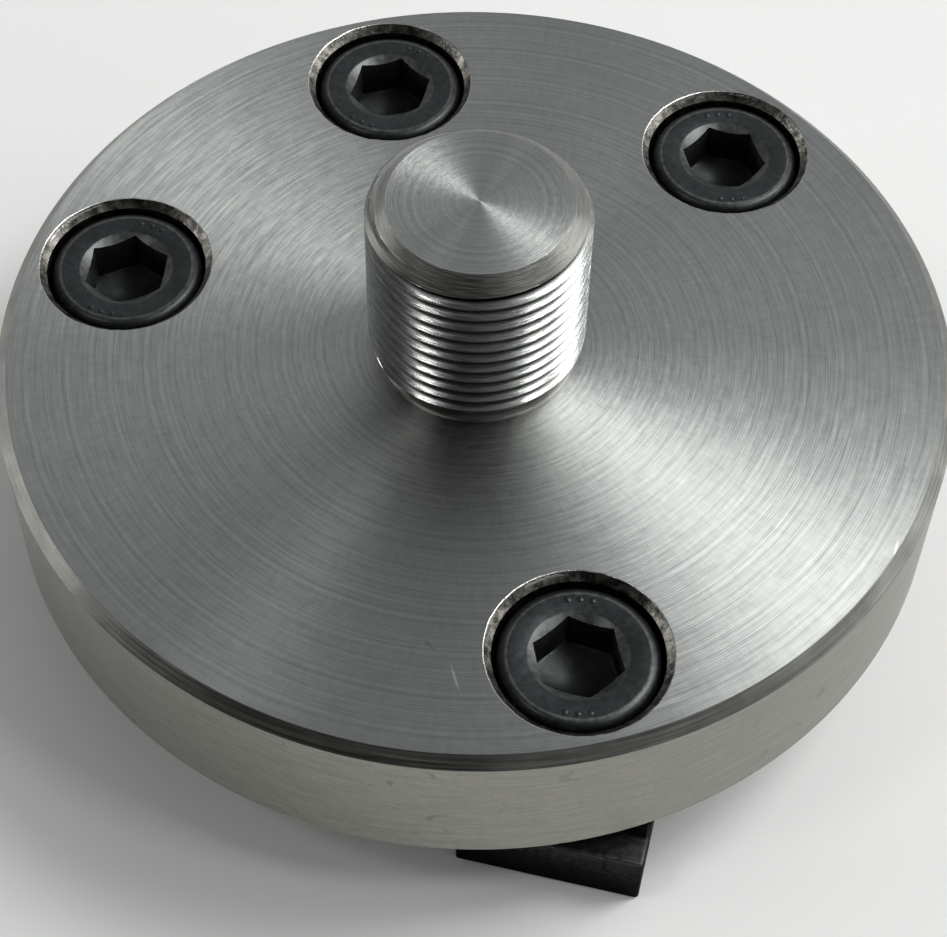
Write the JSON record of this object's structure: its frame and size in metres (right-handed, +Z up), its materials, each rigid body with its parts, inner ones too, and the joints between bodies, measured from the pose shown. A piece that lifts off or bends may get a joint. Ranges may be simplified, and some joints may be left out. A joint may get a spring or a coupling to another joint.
{
  "type": "chuck adapter plate",
  "caption": "Turned steel adapter plate for a rotary table: round disc with an upright threaded nose, counterbored socket-head cap screws and T-nuts under the disc.",
  "frame": {"origin": "centre of the disc's underside, where the nose axis meets the table's top", "axes": "+Z up the threaded nose, -Y through the front screw, whose T-nut hangs turned; +Y through the back screw; the left and right screws lie at 30 degrees above the X axis"},
  "size_m": [0.062, 0.0632, 0.0321],
  "materials": {
    "turned_steel": "fine concentric turning marks, bright satin",
    "black_oxide_screw": "oiled black oxide, low sheen",
    "black_oxide_nut": "dull black oxide on milled faces, bright at the burrs"
  },
  "bodies": {
    "plate": {"adapter_plate": "turned_steel"},
    "screw_front": {"cap_screw_front": "black_oxide_screw"},
    "screw_right": {"cap_screw_right": "black_oxide_screw"},
    "screw_back": {"cap_screw_back": "black_oxide_screw"},
    "screw_left": {"cap_screw_left": "black_oxide_screw"},
    "nut_front": {"t_nut_front": "black_oxide_nut"},
    "nut_right": {"t_nut_right": "black_oxide_nut"},
    "nut_back": {"t_nut_back": "black_oxide_nut"},
    "nut_left": {"t_nut_left": "black_oxide_nut"}
  },
  "joints": [
    {"name": "screw_front_turn", "type": "hinge", "parent": "plate", "child": "screw_front", "pos_m": [0, -0.0241, 0.00455], "axis": [0, 0, 1], "range_deg": [0, 1800]},
    {"name": "screw_right_turn", "type": "hinge", "parent": "plate", "child": "screw_right", "pos_m": [0.02087, 0.01205, 0.00455], "axis": [0, 0, 1], "range_deg": [0, 1800]},
    {"name": "screw_back_turn", "type": "hinge", "parent": "plate", "child": "screw_back", "pos_m": [0, 0.0241, 0.00455], "axis": [0, 0, 1], "range_deg": [0, 1800]},
    {"name": "screw_left_turn", "type": "hinge", "parent": "plate", "child": "screw_left", "pos_m": [-0.02087, 0.01205, 0.00455], "axis": [0, 0, 1], "range_deg": [0, 1800]},
    {"name": "nut_front_travel", "type": "slide", "parent": "plate", "child": "nut_front", "axis": [0, 0, 1], "range_m": [-0.005, 0]},
    {"name": "nut_right_travel", "type": "slide", "parent": "plate", "child": "nut_right", "axis": [0, 0, 1], "range_m": [-0.005, 0]},
    {"name": "nut_back_travel", "type": "slide", "parent": "plate", "child": "nut_back", "axis": [0, 0, 1], "range_m": [-0.005, 0]},
    {"name": "nut_left_travel", "type": "slide", "parent": "plate", "child": "nut_left", "axis": [0, 0, 1], "range_m": [-0.005, 0]}
  ],
  "couplings": [
    {"joint": "screw_front_turn", "follows": "nut_front_travel", "rad_per_m": -6283.2},
    {"joint": "screw_right_turn", "follows": "nut_right_travel", "rad_per_m": -6283.2},
    {"joint": "screw_back_turn", "follows": "nut_back_travel", "rad_per_m": -6283.2},
    {"joint": "screw_left_turn", "follows": "nut_left_travel", "rad_per_m": -6283.2}
  ]
}
